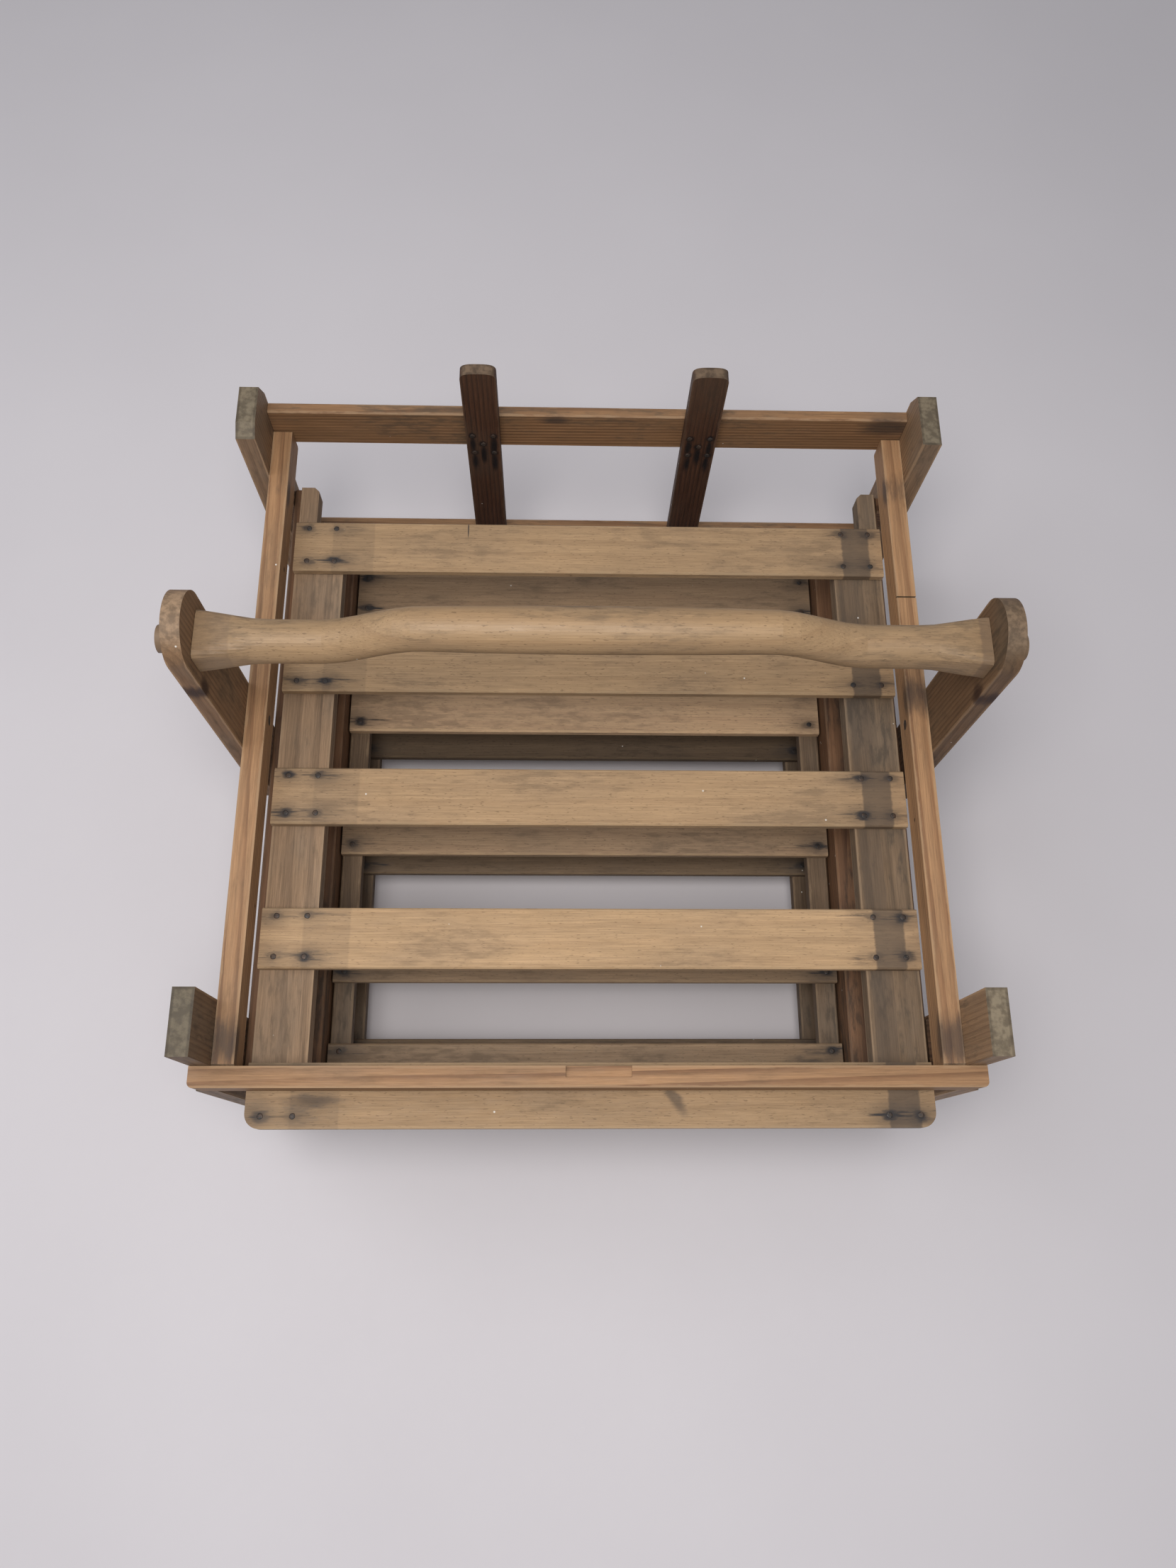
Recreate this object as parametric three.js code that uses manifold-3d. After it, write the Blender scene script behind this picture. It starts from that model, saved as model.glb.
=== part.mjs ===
// A wooden folding drying rack: a post-and-rail stand that carries three slatted trays,
// with a bail handle that swings over the top between two pivoted arms.
//
// Millimetres, +Z up, +X to the right as seen from the front, +Y to the rear.
// Pieces are laid out from the upper rails: X = 0 on the centre plane, Y = 0 at the front ends
// of the rails, Z = 0 on the rails' top faces. The whole group is then moved so that the origin
// sits on the floor under the middle of the rack.

import * as THREE from "three";
import { mergeVertices } from "three/addons/utils/BufferGeometryUtils.js";
import Module from "manifold-3d";

const wasm = await Module();
wasm.setup();

// ---- driving dimensions -------------------------------------------------------------------

const FIT_GAP = 0.3; // clearance left between pieces that touch
const EASE = 1.5; // worn edge of a board
const CUT_PAST = 5; // how far a cutting shape stands out of the face it cuts
const FLOOR = -310; // underside of the posts

// Side rails, posts and crossbars.
const RAIL_OUTER = 336;
const BOARD = 20; // thickness of the rail stock
const RAIL_HEIGHT = 30;
const RAIL_LENGTH = 662.3;
const POST_INNER = RAIL_OUTER + FIT_GAP;
const POST_OUTER = 355.6;
const POST_TOP = 68.5;
const FRONT_POST_REAR = 58.4;
const REAR_POST_FRONT = 607;
const REAR_POST_REAR = 675;
const REAR_POST_CHAMFER = 10;
const REAR_POST_CHAMFER_DROP = 23;
const WORN_TOP = 16; // the left rear post's top is worn down towards its front
const WORN_TOP_DROP = 6;
const CROSSBAR_DEPTH = 19;
const CROSSBAR_CORNER = 5; // rounded ends of the front crossbar
const REAR_BAR_FRONT = 662.6;
const REAR_BAR_DEPTH = 12;
const REAR_BAR_TOP = 31.5;
const REAR_BAR_HEIGHT = 53;
const LOWER_REAR_BAR_TOP = -188;
const LOWER_FRONT_BAR_TOP = -288;
const LOWER_FRONT_BAR_Y = 8;
const PATCH = [-23, 36]; // shallow recess in the rear top edge of the front crossbar
const PATCH_DEPTH = 10;
const PATCH_SINK = 3;
const KERF_Y = 471; // saw cut across the top of the right upper rail
const KERF_WIDTH = 1.6;
const KERF_DEPTH = 4;

// The two upright slats nailed to the front of the rear crossbars.
const BACK_SLAT_CENTRES = [-112.5, 118];
const BACK_SLAT_WIDTH = 36;
const BACK_SLAT_THICK = 12;
const BACK_SLAT_TOP = 112;
const BACK_SLAT_CROWN = 9;
const BACK_SLAT_FOOT = LOWER_REAR_BAR_TOP - REAR_BAR_HEIGHT;

// Handle: two flat arms, a round grip with square ends, and the bolts they turn on.
const PIVOT_Y = 335;
const PIVOT_Z = -15;
const ARM_WIDTH = 68;
const ARM_THICK = 16;
const ARM_OUTER = POST_INNER + ARM_THICK;
const ARM_TOP_CENTRE = 180;
const ARM_FOOT_CENTRE = -140;
const GRIP_END_Z = 162;
const GRIP_END_WIDTH = 46;
const GRIP_END_HEIGHT = 33;
const GRIP_NECK = 37.5;
const GRIP_SWELL = 40.5;
const GRIP_RISE = 26;
const GRIP_SWELL_HALF = 146; // the raised middle reaches this far from the centre plane
const GRIP_NECK_FROM = 235;
const GRIP_ROUND_UNTIL = 280; // from here to the arms it flares into the square ends
const GRIP_END_POWER = 10; // superellipse power of the square ends
const TENON_RADIUS = 12;
const TENON_Z = 165;
const TENON_PROUD = 16;
const BOLT_RADIUS = 5;
const BOLT_HEAD_RADIUS = 11;
const BOLT_HEAD_DEPTH = 5;

// Trays. Slat positions are the front edges of the slats, from the front of the rack to the rear.
const SLAT_WIDTH = 58;
const SLAT_THICK = 10;
const TOP_TRAY = {
  name: "top_tray",
  top: -32,
  halfWidth: 313,
  offset: 2,
  stileWidth: 51,
  stileThick: 20,
  fronts: [-52, 92.5, 234, 375, 513],
  stileFront: -46,
  stileRear: 573,
  tongueWidth: 19,
  tongueRear: 620,
};
const MIDDLE_TRAY = {
  name: "middle_tray",
  top: -160,
  halfWidth: 264,
  offset: 0,
  stileWidth: 21,
  stileThick: 18,
  fronts: [-19, 102, 240, 383, 525],
  stileFront: -12,
  stileRear: 600,
};
const BOTTOM_TRAY = {
  ...MIDDLE_TRAY,
  name: "bottom_tray",
  top: -244,
  fronts: [-4, 118, 241, 383, 525],
  stileFront: 0,
};
const FRONT_SLAT_CORNER = 14; // rounded front corners of the top tray

// What carries the trays.
const RUNNER_WIDTH = 18;
const RUNNER_HEIGHT = 30;
const RUNNER_OUTER = 323;
const RUNNER_FRONT = -9;
const RUNNER_REAR = 630;
const INNER_RAIL_OUTER = 286;
const LEDGER_THICK = 12;
const LEDGER_INNER = 246;
const MIDDLE_RAIL_TOP = -134;
const BOTTOM_RAIL_TOP = -218;
const CORNER_BLOCK_FOOT = -285;
const BLOCK_FRONT = [5, 50];
const BLOCK_REAR = [REAR_POST_FRONT + 3, RUNNER_REAR];

const SIDES = [
  ["left", -1],
  ["right", 1],
];

// ---- materials ----------------------------------------------------------------------------

function wood(color, roughness) {
  return () => new THREE.MeshStandardMaterial({ color, roughness, metalness: 0 });
}
const pine = wood(0xb98a5a, 0.6);
const beech = wood(0xa98a66, 0.7);
const greyBeech = wood(0x867259, 0.8);
const darkWood = wood(0x4a2c20, 0.75);
const gripWood = wood(0xc2a273, 0.4);
const iron = () => new THREE.MeshStandardMaterial({ color: 0x3a3735, roughness: 0.6, metalness: 0.8 });

// ---- shape helpers ------------------------------------------------------------------------

const X = new THREE.Vector3(1, 0, 0);
const Y = new THREE.Vector3(0, 1, 0);
const Z = new THREE.Vector3(0, 0, 1);
const TURN = {
  x: new THREE.Matrix4().makeBasis(Y, Z, X), // outline in Y, Z
  y: new THREE.Matrix4().makeBasis(Z, X, Y), // outline in Z, X
  z: new THREE.Matrix4().makeBasis(X, Y, Z), // outline in X, Y
};

const rack = new THREE.Group();

function add(name, geometry, material) {
  const mesh = new THREE.Mesh(geometry, material());
  mesh.name = name;
  rack.add(mesh);
  return mesh;
}

// A closed outline pushed along one axis, from start to end.
function prism(shape, along, start, end, curveSegments = 12) {
  const options = { depth: end - start, bevelEnabled: false, curveSegments };
  const geometry = new THREE.ExtrudeGeometry(shape, options);
  geometry.translate(0, 0, start);
  return geometry.applyMatrix4(TURN[along]);
}

// A rectangle with eased corners.
function easedRectangle([u0, u1], [v0, v1], ease = EASE) {
  const shape = new THREE.Shape();
  shape.moveTo(u0 + ease, v0);
  shape.lineTo(u1 - ease, v0);
  shape.lineTo(u1, v0 + ease);
  shape.lineTo(u1, v1 - ease);
  shape.lineTo(u1 - ease, v1);
  shape.lineTo(u0 + ease, v1);
  shape.lineTo(u0, v1 - ease);
  shape.lineTo(u0, v0 + ease);
  shape.closePath();
  return shape;
}

// A straight board with its long edges eased.
function board(name, material, along, xs, ys, zs) {
  const outline = {
    x: () => easedRectangle(ys, zs),
    y: () => easedRectangle(zs, xs),
    z: () => easedRectangle(xs, ys),
  }[along]();
  const [start, end] = { x: xs, y: ys, z: zs }[along];
  return add(name, prism(outline, along, start, end), material);
}

// The X span from inner to outer on one side of the rack.
function span(side, inner, outer) {
  return side < 0 ? [-outer, -inner] : [inner, outer];
}

function polygon(points) {
  return new THREE.Shape(points.map(([u, v]) => new THREE.Vector2(u, v)));
}

function circleHole(shape, u, v, radius) {
  const hole = new THREE.Path();
  hole.absarc(u, v, radius, 0, 2 * Math.PI, true);
  shape.holes.push(hole);
}

// ---- solids -------------------------------------------------------------------------------

function solidOf(geometry) {
  const bare = geometry.clone();
  bare.deleteAttribute("normal");
  bare.deleteAttribute("uv");
  const merged = mergeVertices(bare, 1e-4);
  return new wasm.Manifold(
    new wasm.Mesh({
      numProp: 3,
      vertProperties: merged.attributes.position.array,
      triVerts: new Uint32Array(merged.index.array),
    }),
  );
}

function geometryOf(solid) {
  const mesh = solid.getMesh();
  const geometry = new THREE.BufferGeometry();
  geometry.setAttribute("position", new THREE.BufferAttribute(mesh.vertProperties, mesh.numProp));
  geometry.setIndex(new THREE.BufferAttribute(mesh.triVerts, 1));
  geometry.computeVertexNormals();
  return geometry;
}

// A board's outline seen from above, with both front corners rounded.
function roundedPlan([left, right], [front, rear], r) {
  const outline = new THREE.Shape();
  outline.moveTo(left, rear);
  outline.lineTo(left, front + r);
  outline.absarc(left + r, front + r, r, Math.PI, 1.5 * Math.PI, false);
  outline.absarc(right - r, front + r, r, 1.5 * Math.PI, 2 * Math.PI, false);
  outline.lineTo(right, rear);
  outline.closePath();
  return outline;
}

// A geometry with a box cut out of it.
function cutBox(geometry, ...spans) {
  const sizes = spans.map(([low, high]) => high - low);
  const centre = spans.map(([low, high]) => (low + high) / 2);
  const cutter = new THREE.BoxGeometry(...sizes).translate(...centre);
  return geometryOf(solidOf(geometry).subtract(solidOf(cutter)));
}

// ---- stand --------------------------------------------------------------------------------

// Front post: its front is cut back above the crossbar, which sits on the shoulder.
function frontPost(label, side) {
  const outline = polygon([
    [-CROSSBAR_DEPTH, FLOOR],
    [FRONT_POST_REAR, FLOOR],
    [FRONT_POST_REAR, POST_TOP],
    [FIT_GAP, POST_TOP],
    [FIT_GAP, -RAIL_HEIGHT - FIT_GAP],
    [-CROSSBAR_DEPTH, -RAIL_HEIGHT - FIT_GAP],
  ]);
  add("front_post_" + label, prism(outline, "x", ...span(side, POST_INNER, POST_OUTER)), pine);
}

// Rear post: the rear corner of its top is cut away. The left one is worn at the front too.
function rearPost(label, side) {
  const worn = [
    [REAR_POST_FRONT + WORN_TOP, POST_TOP],
    [REAR_POST_FRONT, POST_TOP - WORN_TOP_DROP],
  ];
  const outline = polygon([
    [REAR_POST_FRONT, FLOOR],
    [REAR_POST_REAR, FLOOR],
    [REAR_POST_REAR, POST_TOP - REAR_POST_CHAMFER_DROP],
    [REAR_POST_REAR - REAR_POST_CHAMFER, POST_TOP],
    ...(side < 0 ? worn : [[REAR_POST_FRONT, POST_TOP]]),
  ]);
  add("rear_post_" + label, prism(outline, "x", ...span(side, POST_INNER, POST_OUTER)), pine);
}

// Upper rail, drilled for the handle's pivot bolt. The right one has a saw cut across its top.
function upperRail(label, side) {
  const outline = easedRectangle([FIT_GAP, RAIL_LENGTH], [-RAIL_HEIGHT, 0]);
  circleHole(outline, PIVOT_Y, PIVOT_Z, BOLT_RADIUS + FIT_GAP);
  const xs = span(side, RAIL_OUTER - BOARD, RAIL_OUTER);
  const rail = prism(outline, "x", ...xs);
  const kerf = [KERF_Y - KERF_WIDTH / 2, KERF_Y + KERF_WIDTH / 2];
  const cut = side > 0 ? cutBox(rail, [0, POST_OUTER], kerf, [-KERF_DEPTH, CUT_PAST]) : rail;
  add("upper_rail_" + label, cut, pine);
}

// Upright back slat with a low crown and round shoulders, seen from the front in Z and X.
function backSlat(label, centre) {
  const half = BACK_SLAT_WIDTH / 2;
  const shoulder = BACK_SLAT_TOP - BACK_SLAT_CROWN;
  const outline = new THREE.Shape();
  outline.moveTo(BACK_SLAT_FOOT, centre - half);
  outline.lineTo(shoulder, centre - half);
  outline.bezierCurveTo(
    BACK_SLAT_TOP, centre - half,
    BACK_SLAT_TOP, centre - half / 2,
    BACK_SLAT_TOP, centre,
  );
  outline.bezierCurveTo(
    BACK_SLAT_TOP, centre + half / 2,
    BACK_SLAT_TOP, centre + half,
    shoulder, centre + half,
  );
  outline.lineTo(BACK_SLAT_FOOT, centre + half);
  outline.closePath();
  const rear = REAR_BAR_FRONT - FIT_GAP;
  add("back_slat_" + label, prism(outline, "y", rear - BACK_SLAT_THICK, rear), darkWood);
}

// The front crossbar lies on the shoulders of the front posts and has a shallow recess behind.
function frontCrossbar() {
  const plan = roundedPlan([-POST_OUTER, POST_OUTER], [-CROSSBAR_DEPTH, 0], CROSSBAR_CORNER);
  const bar = prism(plan, "z", -RAIL_HEIGHT, 0, 6);
  add("front_crossbar", cutBox(bar, PATCH, [-PATCH_DEPTH, CUT_PAST], [-PATCH_SINK, CUT_PAST]), pine);
}

function stand() {
  for (const [label, side] of SIDES) {
    frontPost(label, side);
    rearPost(label, side);
    upperRail(label, side);
  }
  const between = [-RAIL_OUTER, RAIL_OUTER];
  frontCrossbar();
  const rearBar = [REAR_BAR_FRONT, REAR_BAR_FRONT + REAR_BAR_DEPTH];
  board("rear_crossbar", pine, "x", between, rearBar, [REAR_BAR_TOP - REAR_BAR_HEIGHT, REAR_BAR_TOP]);
  const lowerRear = [LOWER_REAR_BAR_TOP - REAR_BAR_HEIGHT, LOWER_REAR_BAR_TOP];
  board("lower_rear_crossbar", pine, "x", between, rearBar, lowerRear);
  const lowerFront = [LOWER_FRONT_BAR_Y, LOWER_FRONT_BAR_Y + BOARD];
  board("lower_front_crossbar", pine, "x", between, lowerFront, [FLOOR, LOWER_FRONT_BAR_TOP]);
  backSlat("left", BACK_SLAT_CENTRES[0]);
  backSlat("right", BACK_SLAT_CENTRES[1]);
}

// ---- tray supports ------------------------------------------------------------------------

// Runners under the top tray's stiles, held off the posts by a block at each end.
function topRunners() {
  const top = TOP_TRAY.top - SLAT_THICK - TOP_TRAY.stileThick - 2 * FIT_GAP;
  const heights = [top - RUNNER_HEIGHT, top];
  for (const [label, side] of SIDES) {
    const xs = span(side, RUNNER_OUTER - RUNNER_WIDTH, RUNNER_OUTER);
    board("top_runner_" + label, pine, "y", xs, [RUNNER_FRONT, RUNNER_REAR], heights);
    const gap = span(side, RUNNER_OUTER + FIT_GAP, RAIL_OUTER);
    board("runner_block_front_" + label, pine, "x", gap, BLOCK_FRONT, heights);
    board("runner_block_rear_" + label, pine, "x", gap, BLOCK_REAR, heights);
  }
}

// A guide rail on edge beside a tray, with the ledger below it that the tray slides on.
function guide(tray, prefix, railTop) {
  const trayBottom = tray.top - SLAT_THICK - tray.stileThick - 2 * FIT_GAP;
  const ys = [RUNNER_FRONT, RUNNER_REAR];
  for (const [label, side] of SIDES) {
    const rail = span(side, INNER_RAIL_OUTER - BOARD, INNER_RAIL_OUTER);
    board(prefix + "_rail_" + label, pine, "y", rail, ys, [trayBottom, railTop]);
    const ledger = span(side, LEDGER_INNER, INNER_RAIL_OUTER);
    const ledgerTop = trayBottom - FIT_GAP;
    board(prefix + "_ledger_" + label, pine, "y", ledger, ys, [ledgerTop - LEDGER_THICK, ledgerTop]);
  }
}

// Blocks that tie both pairs of guide rails to the posts.
function cornerBlocks(top, bottom) {
  for (const [label, side] of SIDES) {
    const xs = span(side, INNER_RAIL_OUTER + FIT_GAP, RAIL_OUTER);
    board("corner_block_front_" + label, pine, "z", xs, BLOCK_FRONT, [bottom, top]);
    board("corner_block_rear_" + label, pine, "z", xs, BLOCK_REAR, [bottom, top]);
  }
}

// ---- trays --------------------------------------------------------------------------------

// A stile of the top tray: wide under the slats, with a narrow tongue running on to the rear.
function tonguedStile(tray, side) {
  const outer = tray.halfWidth;
  const inner = outer - tray.stileWidth;
  const tongue = outer - tray.tongueWidth;
  const corner = 5;
  const points = [
    [inner, tray.stileFront],
    [outer, tray.stileFront],
    [outer, tray.tongueRear],
    [tongue + corner, tray.tongueRear],
    [tongue, tray.tongueRear - corner],
    [tongue, tray.stileRear],
    [inner, tray.stileRear],
  ];
  return polygon(points.map(([x, y]) => [tray.offset + side * x, y]));
}

function stile(tray, label, side) {
  const top = tray.top - SLAT_THICK - FIT_GAP;
  const name = tray.name + "_stile_" + label;
  if (tray.tongueRear) {
    add(name, prism(tonguedStile(tray, side), "z", top - tray.stileThick, top), greyBeech);
    return;
  }
  const xs = span(side, tray.halfWidth - tray.stileWidth, tray.halfWidth);
  board(name, greyBeech, "y", xs, [tray.stileFront, tray.stileRear], [top - tray.stileThick, top]);
}

// The front slat of the top tray has its front corners rounded off.
function roundedSlat(tray, xs, front) {
  const outline = roundedPlan(xs, [front, front + SLAT_WIDTH], FRONT_SLAT_CORNER);
  return prism(outline, "z", tray.top - SLAT_THICK, tray.top, 8);
}

// Slats are numbered from the front of the rack.
function tray(sizes, material) {
  for (const [label, side] of SIDES) stile(sizes, label, side);
  sizes.fronts.forEach((front, i) => {
    const name = sizes.name + "_slat_" + (i + 1);
    const xs = [sizes.offset - sizes.halfWidth, sizes.offset + sizes.halfWidth];
    if (sizes.tongueRear && i === 0) {
      add(name, roundedSlat(sizes, xs, front), material);
      return;
    }
    board(name, material, "x", xs, [front, front + SLAT_WIDTH], [sizes.top - SLAT_THICK, sizes.top]);
  });
}

// ---- handle -------------------------------------------------------------------------------

// A flat arm with round ends, drilled for the grip's tenon and counterbored for the pivot bolt.
function arm(label, side) {
  const r = ARM_WIDTH / 2;
  const outline = new THREE.Shape();
  outline.absarc(PIVOT_Y, ARM_TOP_CENTRE, r, 0, Math.PI, false);
  outline.absarc(PIVOT_Y, ARM_FOOT_CENTRE, r, Math.PI, 2 * Math.PI, false);
  outline.closePath();
  circleHole(outline, PIVOT_Y, TENON_Z, TENON_RADIUS + FIT_GAP);
  circleHole(outline, PIVOT_Y, PIVOT_Z, BOLT_RADIUS + FIT_GAP);
  const plate = prism(outline, "x", ...span(side, POST_INNER, ARM_OUTER), 24);
  const depth = BOLT_HEAD_DEPTH + FIT_GAP;
  const radius = BOLT_HEAD_RADIUS + FIT_GAP;
  const cutter = new THREE.CylinderGeometry(radius, radius, depth + CUT_PAST, 48);
  cutter.rotateZ(Math.PI / 2);
  cutter.translate(side * (ARM_OUTER - (depth - CUT_PAST) / 2), PIVOT_Y, PIVOT_Z);
  add("handle_arm_" + label, geometryOf(solidOf(plate).subtract(solidOf(cutter))), beech);
}

// A flat-headed bolt, flush with the arm's outer face and the rail's inner face.
function pivotBolt(label, side) {
  const tip = RAIL_OUTER - BOARD + FIT_GAP;
  const profile = [
    [0, tip],
    [BOLT_RADIUS, tip],
    [BOLT_RADIUS, ARM_OUTER - BOLT_HEAD_DEPTH],
    [BOLT_HEAD_RADIUS, ARM_OUTER - BOLT_HEAD_DEPTH],
    [BOLT_HEAD_RADIUS, ARM_OUTER],
    [0, ARM_OUTER],
  ];
  const points = profile.map(([r, along]) => new THREE.Vector2(r, along));
  const bolt = new THREE.LatheGeometry(points, 48);
  bolt.rotateZ((-side * Math.PI) / 2);
  bolt.translate(0, PIVOT_Y, PIVOT_Z);
  add("pivot_bolt_" + label, bolt, iron);
}

function mix(a, b, share) {
  return a + (b - a) * share;
}

// Half sizes, squareness and centre height of the grip at a distance x from its middle.
function gripSection(x) {
  const out = Math.abs(x);
  const square = (Math.max(0, out - GRIP_ROUND_UNTIL) / (RAIL_OUTER - GRIP_ROUND_UNTIL)) ** 2;
  const raised = 1 - THREE.MathUtils.smoothstep(out, GRIP_SWELL_HALF, GRIP_NECK_FROM);
  const barrel = Math.max(0, 1 - (out / GRIP_SWELL_HALF) ** 2);
  const round = mix(GRIP_NECK, GRIP_SWELL, barrel) / 2;
  return {
    x,
    halfWidth: mix(round, GRIP_END_WIDTH / 2, square),
    halfHeight: mix(round, GRIP_END_HEIGHT / 2, square),
    power: mix(2, GRIP_END_POWER, square),
    z: GRIP_END_Z + GRIP_RISE * raised,
  };
}

function tenonSection(x) {
  return { x, halfWidth: TENON_RADIUS, halfHeight: TENON_RADIUS, power: 2, z: TENON_Z };
}

// The grip is a cylinder whose rings are moved to stations along X and reshaped to a
// superellipse: round in the middle, square where it meets the arms, with a tenon at each end.
function grip() {
  const shoulder = RAIL_OUTER;
  const tip = ARM_OUTER + TENON_PROUD;
  const steps = 44;
  const stations = [tenonSection(-tip), tenonSection(-shoulder)];
  for (let i = 0; i <= steps; i++) stations.push(gripSection(mix(-shoulder, shoulder, i / steps)));
  stations.push(tenonSection(shoulder), tenonSection(tip));

  const last = stations.length - 1;
  const geometry = new THREE.CylinderGeometry(1, 1, 1, 48, last);
  const position = geometry.attributes.position;
  for (let i = 0; i < position.count; i++) {
    const s = stations[Math.round((0.5 - position.getY(i)) * last)];
    const across = position.getX(i);
    const up = position.getZ(i);
    const radius = Math.hypot(across, up); // 0 at the centre of an end cap, 1 elsewhere
    const angle = Math.atan2(up, across);
    const u = Math.abs(Math.cos(angle)) / s.halfWidth;
    const v = Math.abs(Math.sin(angle)) / s.halfHeight;
    const reach = radius * Math.pow(Math.pow(u, s.power) + Math.pow(v, s.power), -1 / s.power);
    const y = PIVOT_Y + reach * Math.cos(angle);
    const z = s.z + reach * Math.sin(angle);
    position.setXYZ(i, s.x, y, z);
  }
  add("grip_bar", geometry, gripWood);
}

function handle() {
  for (const [label, side] of SIDES) {
    arm(label, side);
    pivotBolt(label, side);
  }
  grip();
}

// ---- assembly -----------------------------------------------------------------------------

stand();
topRunners();
guide(MIDDLE_TRAY, "middle", MIDDLE_RAIL_TOP);
guide(BOTTOM_TRAY, "bottom", BOTTOM_RAIL_TOP);
cornerBlocks(MIDDLE_RAIL_TOP, CORNER_BLOCK_FOOT);
tray(TOP_TRAY, beech);
tray(MIDDLE_TRAY, beech);
tray(BOTTOM_TRAY, greyBeech);
handle();

const frontMost = TOP_TRAY.fronts[0];
rack.position.set(0, -(frontMost + REAR_POST_REAR) / 2, -FLOOR);

export default rack;
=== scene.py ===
"""The wooden drying rack: procedural woods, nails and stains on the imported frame."""
import math
import random
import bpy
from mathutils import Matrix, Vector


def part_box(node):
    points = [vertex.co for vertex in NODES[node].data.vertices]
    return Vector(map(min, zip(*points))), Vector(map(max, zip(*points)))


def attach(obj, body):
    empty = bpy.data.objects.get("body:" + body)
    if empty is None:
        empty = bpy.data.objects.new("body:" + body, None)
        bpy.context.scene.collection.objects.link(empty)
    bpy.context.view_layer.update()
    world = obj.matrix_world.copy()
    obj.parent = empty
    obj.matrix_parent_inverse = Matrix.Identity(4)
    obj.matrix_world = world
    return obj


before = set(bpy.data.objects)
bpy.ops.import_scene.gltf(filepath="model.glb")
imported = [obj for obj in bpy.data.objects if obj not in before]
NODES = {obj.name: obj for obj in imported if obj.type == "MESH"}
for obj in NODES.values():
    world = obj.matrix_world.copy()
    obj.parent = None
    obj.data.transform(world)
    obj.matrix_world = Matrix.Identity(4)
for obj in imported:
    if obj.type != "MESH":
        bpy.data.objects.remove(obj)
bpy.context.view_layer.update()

from types import SimpleNamespace

import bmesh
import bpy
from mathutils import Vector

MM = 0.001

# The frame's origin is on the floor under the rack. Nails and the camera are set out from the
# upper rails' top faces and from their front ends, which meet the front crossbar's back.
RAIL_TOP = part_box("upper_rail_left")[1].z
RAIL_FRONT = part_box("front_crossbar")[1].y
GRIP_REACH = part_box("grip_bar")[1].x

# The camera: its place in metres, its turn in degrees and its lens in millimetres.
EYE = (-33.5 * MM, RAIL_FRONT - 111.2 * MM, RAIL_TOP + 1076.8 * MM)
EYE_TURN = (19.27, -1.59, -0.21)
LENS = 27.2
SENSOR_WIDTH = 36

# ---- node tree helper ---------------------------------------------------------------------


class Net:
    """Short calls for building a material's node tree. An input is a socket or a plain value."""

    def __init__(self, tree):
        self.tree = tree

    def put(self, kind, inputs=None, **settings):
        node = self.tree.nodes.new(kind)
        for key, value in settings.items():
            setattr(node, key, value)
        for key, value in (inputs or {}).items():
            self.feed(node.inputs[key], value)
        return node

    def feed(self, socket, value):
        if isinstance(value, bpy.types.NodeSocket):
            self.tree.links.new(value, socket)
        elif value is not None:
            socket.default_value = value

    def math(self, operation, a, b=None, c=None, clamp=False):
        node = self.put("ShaderNodeMath", operation=operation, use_clamp=clamp)
        for socket, value in zip(node.inputs, (a, b, c)):
            self.feed(socket, value)
        return node.outputs[0]

    def vector(self, x, y, z):
        return self.put("ShaderNodeCombineXYZ", {0: x, 1: y, 2: z}).outputs[0]

    def noise(self, where, scale=1.0, detail=2.0, roughness=0.5, distortion=0.0):
        inputs = {
            "Vector": where,
            "Scale": scale,
            "Detail": detail,
            "Roughness": roughness,
            "Distortion": distortion,
        }
        return self.put("ShaderNodeTexNoise", inputs).outputs["Fac"]

    def remap(self, value, low, high, to_low=0.0, to_high=1.0, smooth=True):
        inputs = {
            "Value": value,
            "From Min": low,
            "From Max": high,
            "To Min": to_low,
            "To Max": to_high,
        }
        kind = "SMOOTHSTEP" if smooth else "LINEAR"
        return self.put("ShaderNodeMapRange", inputs, interpolation_type=kind).outputs["Result"]

    def blend(self, share, a, b, mode="MIX"):
        node = self.put("ShaderNodeMix", data_type="RGBA", blend_type=mode)
        self.feed(node.inputs[0], share)
        self.feed(node.inputs[6], rgba(a))
        self.feed(node.inputs[7], rgba(b))
        return node.outputs[2]

    def shaded(self, colour, shade):
        """A colour made darker or paler by a number."""
        return self.blend(1.0, colour, self.vector(shade, shade, shade), "MULTIPLY")

    def scaled(self, sockets, factors, shift):
        parts = [self.math("MULTIPLY_ADD", s, f, d) for s, f, d in zip(sockets, factors, shift)]
        return self.vector(*parts)

    def fold(self, operation, values):
        """One operation over a list of values, such as MAXIMUM for the largest of them."""
        total = values[0]
        for value in values[1:]:
            total = self.math(operation, total, value)
        return total


def rgba(colour):
    if isinstance(colour, bpy.types.NodeSocket):
        return colour
    return (*colour, 1.0)


def dimmed(colour, share):
    return tuple(channel * share for channel in colour)


# ---- woods --------------------------------------------------------------------------------


# How often each noise repeats in a metre: along the grain, across the board and through it.
WANDER_GRID = (1.3, 7, 7)
PATCH_GRID = (5, 30, 30)
STREAK_GRID = (3.5, 300, 300)
FIBRE_GRID = (24, 850, 850)
TONE_GRID = (5, 24, 24)
FLECK_GRID = (190, 820, 820)
FINE_GRID = (45, 170, 170)
SLOW_GRID = (7, 16, 16)
NAIL_TONE_GRID = (24, 26, 0)
NAIL_STREAK_GRID = (30, 420, 420)
END_GRAIN_GRID = 110
DUST_GRID = 75

# Where in a growth ring the dark latewood starts and ends, as shares of the ring.
LATE_START = 0.35
LATE_END = 0.93

KNOT_BROWN = (0.035, 0.014, 0.008)
DUST_WHITE = (0.75, 0.72, 0.66)
DUST_RADIUS = (0.045, 0.085)
DUST_CHOSEN = 0.93
DUST_STRENGTH = 0.8


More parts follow.
